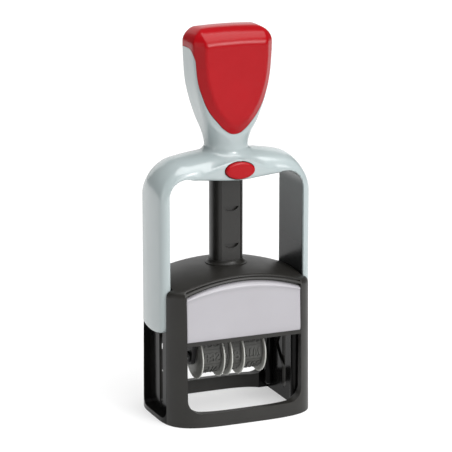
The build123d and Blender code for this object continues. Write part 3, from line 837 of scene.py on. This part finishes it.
def band_point(along, out):
    """The y and z of a point at a distance along the loop, from the bottom up its front side."""
    wheel_part, straight, bar_part = band_lengths()
    half = wheel_part + straight + bar_part
    along %= 2 * half
    side = -1
    if along > half:
        along = 2 * half - along
        side = 1
    if along < wheel_part:
        angle = along / BAND_FACE - math.pi / 2
        y, z = BAND_FACE * math.cos(angle), WHEEL_Z + BAND_FACE * math.sin(angle)
    elif along < wheel_part + straight:
        angle = BAND_TILT
        part = (along - wheel_part) / straight
        y = (BAND_FACE + (BAR_FACE - BAND_FACE) * part) * math.cos(angle)
        z = WHEEL_Z + (BAR_Z - WHEEL_Z) * part + (BAND_FACE + (BAR_FACE - BAND_FACE) * part) * math.sin(angle)
    else:
        angle = BAND_TILT + (along - wheel_part - straight) / BAR_FACE
        y, z = BAR_FACE * math.cos(angle), BAR_Z + BAR_FACE * math.sin(angle)
    return side * (y + out * math.cos(angle)), z + out * math.sin(angle)


def raised_letters(text, width, height, depth):
    """Mirrored letters as a mesh, cut into strips so that they can follow a curve."""
    curve = bpy.data.curves.new("letters", "FONT")
    curve.body = text
    curve.align_x = "CENTER"
    curve.size = 1.0
    curve.extrude = 0.5
    curve.resolution_u = 3
    writer = bpy.data.objects.new("letters", curve)
    scene.collection.objects.link(writer)
    bpy.context.view_layer.update()
    mesh = bpy.data.meshes.new_from_object(writer.evaluated_get(bpy.context.evaluated_depsgraph_get()))
    bpy.data.objects.remove(writer)
    bpy.data.curves.remove(curve)
    work = bmesh.new()
    work.from_mesh(mesh)
    bpy.data.meshes.remove(mesh)
    xs = [vert.co.x for vert in work.verts]
    ys = [vert.co.y for vert in work.verts]
    for vert in work.verts:
        across = (vert.co.x - min(xs)) / (max(xs) - min(xs)) - 0.5
        up = (vert.co.y - min(ys)) / (max(ys) - min(ys)) - 0.5
        vert.co = (-across * width, up * height, (vert.co.z + 0.5) * depth)
    bmesh.ops.reverse_faces(work, faces=work.faces)
    cuts = 6
    for cut in range(1, cuts):
        bmesh.ops.bisect_plane(work, geom=work.verts[:] + work.edges[:] + work.faces[:],
                               plane_co=(0, height * (cut / cuts - 0.5), 0), plane_no=(0, 1, 0))
    return work


def build_bands():
    """Rubber loops with raised rows of months, digits or years and a rule between the rows."""
    half = sum(band_lengths())
    pitch = 2 * half / ROWS
    rows_of = {
        "month": ["JAN", "FEB", "MAR", "APR", "MAY", "JUN", "JUL", "AUG", "SEP", "OCT", "NOV", "DEC"],
        "day_tens": ["0", "1", "2", "3"] * 3,
        "day_units": ["0", "1", "2", "3", "4", "5", "6", "7", "8", "9", "0", "1"],
        "year": [str(2024 + row) for row in range(ROWS)],
    }
    for name, rows in rows_of.items():
        low, high = (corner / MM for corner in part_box(f"band_{name}"))
        middle = (low.x + high.x) / 2
        width = high.x - low.x
        work = bmesh.new()
        count = 220
        rings = []
        for step in range(count):
            ring = []
            for x, out in ((low.x, -BAND_THICKNESS), (high.x, -BAND_THICKNESS), (high.x, -0.12),
                           (high.x - 0.12, 0), (low.x + 0.12, 0), (low.x, -0.12)):
                y, z = band_point(2 * half * step / count, out)
                ring.append(work.verts.new(Vector((x, y, z)) * MM))
            rings.append(ring)
        for step in range(count):
            ring, after = rings[step], rings[(step + 1) % count]
            for corner in range(6):
                following = (corner + 1) % 6
                work.faces.new((ring[corner], ring[following], after[following], after[corner]))
        for row, text in enumerate(rows):
            centre = pitch * row + half
            letters = raised_letters(text, width * (0.84 if len(text) > 1 else 0.62), 3.9, 0.6)
            for vert in letters.verts:
                y, z = band_point(centre + vert.co.y, vert.co.z - 0.12)
                vert.co = Vector((middle + vert.co.x, y, z)) * MM
            part = bpy.data.meshes.new("row")
            letters.to_mesh(part)
            letters.free()
            work.from_mesh(part)
            bpy.data.meshes.remove(part)
            corners = []
            for x in (low.x + 0.3, high.x - 0.3):
                for along in (-0.16, 0.16):
                    for out in (-0.1, 0.3):
                        y, z = band_point(centre + pitch / 2 + along, out)
                        corners.append(work.verts.new(Vector((x, y, z)) * MM))
            for face in ((0, 1, 3, 2), (4, 6, 7, 5), (0, 4, 5, 1), (2, 3, 7, 6), (1, 5, 7, 3), (0, 2, 6, 4)):
                work.faces.new([corners[corner] for corner in face])
        mesh = closed_mesh(f"band_{name}", work)
        smooth(mesh, 30)
        add_piece(f"{name}_character_band", mesh, "flip_unit", band_rubber, [f"band_{name}"])


build_bands()


# ---------------------------------------------------------------- label panel and soft parts

PANEL_LEAN = math.tan(math.radians(2.5))
PANEL_CORNER_TOP = 56.1
PANEL_ROLL = 3.2
PANEL_SWELL = 0.28
PANEL_SWELL_END = 0.35
PANEL_FALL = 1.45
PANEL_THICKNESS = 1.55


def build_panel():
    """The silver label plate: a flat leaning face with a rolled band along its arched top."""
    low, high = (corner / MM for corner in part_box("front_label_panel"))
    half_x = high.x
    rise = high.z - PANEL_CORNER_TOP
    arch_radius = (half_x ** 2 + rise ** 2) / (2 * rise)
    columns = [-half_x, -half_x + 0.08, -half_x + 0.25, -half_x + 0.5]
    columns += list(np.linspace(-half_x + 1, half_x - 1, 90))
    columns += [half_x - 0.5, half_x - 0.25, half_x - 0.08, half_x]
    below = list(np.linspace(0.0, 1.0, 14))
    above = list(np.linspace(0.0, 1.0, 40))[1:]
    front = []
    for x in columns:
        top = high.z - arch_radius + math.sqrt(arch_radius ** 2 - x ** 2)
        roll = PANEL_ROLL * (1 - 0.55 * (abs(x) / half_x) ** 2)
        side = half_x - abs(x)
        column = []
        for part in below:
            z = low.z + (top - roll - low.z) * part
            foot = z - low.z
            back = 0.3 * max(0, 1 - side / 0.5) ** 2 + 0.3 * max(0, 1 - foot / 0.5) ** 2
            column.append((x, z, back))
        for part in above:
            z = top - roll * (1 - part)
            swell = PANEL_SWELL * math.sin(math.pi / 2 * min(1, part / PANEL_SWELL_END))
            fall = PANEL_FALL * max(0, (part - PANEL_SWELL_END) / (1 - PANEL_SWELL_END)) ** 1.7
            column.append((x, z, fall - swell + 0.3 * max(0, 1 - side / 0.5) ** 2))
        front.append(column)
    work = bmesh.new()

    def place(x, z, back):
        return work.verts.new(Vector((x, low.y + 0.2 + (z - low.z) * PANEL_LEAN + back, z)) * MM)

    fronts = [[place(*spot) for spot in column] for column in front]
    backs = [[place(spot[0], spot[1], PANEL_THICKNESS - 0.2) for spot in column] for column in front]
    rows = len(fronts[0])
    for i in range(len(columns) - 1):
        for j in range(rows - 1):
            work.faces.new((fronts[i][j], fronts[i + 1][j], fronts[i + 1][j + 1], fronts[i][j + 1]))
            work.faces.new((backs[i][j], backs[i][j + 1], backs[i + 1][j + 1], backs[i + 1][j]))
        for j in (0, rows - 1):
            work.faces.new((fronts[i][j], backs[i][j], backs[i + 1][j], fronts[i + 1][j]))
    for i in (0, len(columns) - 1):
        for j in range(rows - 1):
            work.faces.new((fronts[i][j], fronts[i][j + 1], backs[i][j + 1], backs[i][j]))
    mesh = closed_mesh("label_plate", work)
    smooth(mesh, 40)
    add_piece("label_plate", mesh, "base", silver_panel, ["front_label_panel"])


def soft_slab(node, name, body, material, edge, crown, hole=None):
    """A foam or felt slab: soft rounded edges, a slightly crowned and uneven face."""
    low, high = (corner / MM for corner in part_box(node))
    middle = (low + high) / 2
    half = (high - low) / 2

    def field(x, y, z):
        dx, dy = x - middle.x, y - middle.y
        dome = crown * ((dx / half.x) ** 2 + (dy / half.y) ** 2) / 2
        puff = 0.04 * np.sin(dx * 0.9) * np.sin(dy * 1.1 + 0.7)
        flat = np.abs(z - middle.z) - (half.z - 0.04 - dome + puff * (half.z > 1))
        sides = round_max(np.abs(dx) - half.x, np.abs(dy) - half.y, 1.2)
        slab = round_max(sides, flat, edge)
        if hole:
            slab = round_max(slab, -np.maximum(np.abs(dx) - hole[0], np.abs(dy) - hole[1]), edge * 0.6)
        return slab

    step = max(0.4, edge * (0.8))
    points, faces = surface_nets(field, low, high, step)
    mesh = mesh_from(name, points * MM, faces)
    smooth(mesh, 60)
    piece = add_piece(name, mesh, body, material, [node])


build_panel()
soft_slab("ink_pad", "felt_ink_pad", "ink_cassette", ink_foam, 0.7, 0.35)
soft_slab("die_cushion", "foam_die_cushion", "flip_unit", ink_foam, 0.3, 0.0, (17.6, 4.7))

# ---------------------------------------------------------------- stage

ground = bpy.data.meshes.new("floor")
work = bmesh.new()
bmesh.ops.create_grid(work, x_segments=2, y_segments=2, size=3.0)
work.to_mesh(ground)
work.free()
floor = bpy.data.objects.new("floor", ground)
scene.collection.objects.link(floor)
floor_material, floor_nodes, floor_links, floor_shader = node_material("floor")
paper = object_noise(floor_nodes, floor_links, 4)
floor_links.new(tint(floor_nodes, floor_links, paper.outputs["Fac"], (0.42, 0.42, 0.42), (0.44, 0.44, 0.44)),
                floor_shader.inputs["Base Color"])
floor_shader.inputs["Emission Color"].default_value = (1, 1, 1, 1)
floor_shader.inputs["Emission Strength"].default_value = 0.50
floor_shader.inputs["Roughness"].default_value = 0.6
ground.materials.append(floor_material)

world = bpy.data.worlds.new("studio")
scene.world = world
world.use_nodes = True
world.node_tree.nodes["Background"].inputs["Color"].default_value = (1, 1, 1, 1)
world.node_tree.nodes["Background"].inputs["Strength"].default_value = 0.10


def add_light(name, kind, place, target, power, size=(0.5, 0.5)):
    lamp = bpy.data.lights.new(name, kind)
    lamp.energy = power
    if kind == "AREA":
        lamp.shape = "RECTANGLE"
        lamp.size = size[0]
        lamp.size_y = size[1]
    else:
        lamp.angle = math.radians(size[0])
    lamp_object = bpy.data.objects.new(name, lamp)
    lamp_object.location = place
    aim = Vector(target) - Vector(place)
    lamp_object.rotation_euler = aim.to_track_quat("-Z", "Y").to_euler()
    scene.collection.objects.link(lamp_object)


OBJECT_MIDDLE = (0, 0, 0.085)
add_light("sky", "SUN", (0.15, -0.25, 1.6), OBJECT_MIDDLE, 3.6, (60, 0))
add_light("front_sky", "SUN", (0.45, -1.4, 0.85), OBJECT_MIDDLE, 1.2, (45, 0))
add_light("front_box", "AREA", (0.55, -1.35, 0.75), OBJECT_MIDDLE, 9, (0.5, 0.5))
add_light("back_card", "AREA", (0.35, 1.5, 0.55), OBJECT_MIDDLE, 4, (1.6, 0.9))
add_light("left_strip", "AREA", (-1.3, -0.25, 0.35), OBJECT_MIDDLE, 1.2, (0.25, 0.7))

# ---------------------------------------------------------------- camera

VIEW_TURN = math.radians(22.81)
VIEW_RISE = math.radians(14.37)
VIEW_DISTANCE = 1.0224
VIEW_TARGET = Vector((0.0001, 0, 0.0805))
towards = Vector((-math.sin(VIEW_TURN) * math.cos(VIEW_RISE),
                  -math.cos(VIEW_TURN) * math.cos(VIEW_RISE), math.sin(VIEW_RISE)))
lens = bpy.data.cameras.new("camera")
lens.sensor_width = 36
lens.lens = 191.15
camera = bpy.data.objects.new("camera", lens)
camera.location = VIEW_TARGET + towards * VIEW_DISTANCE
camera.rotation_euler = (-towards).to_track_quat("-Z", "Y").to_euler()
scene.collection.objects.link(camera)
scene.camera = camera
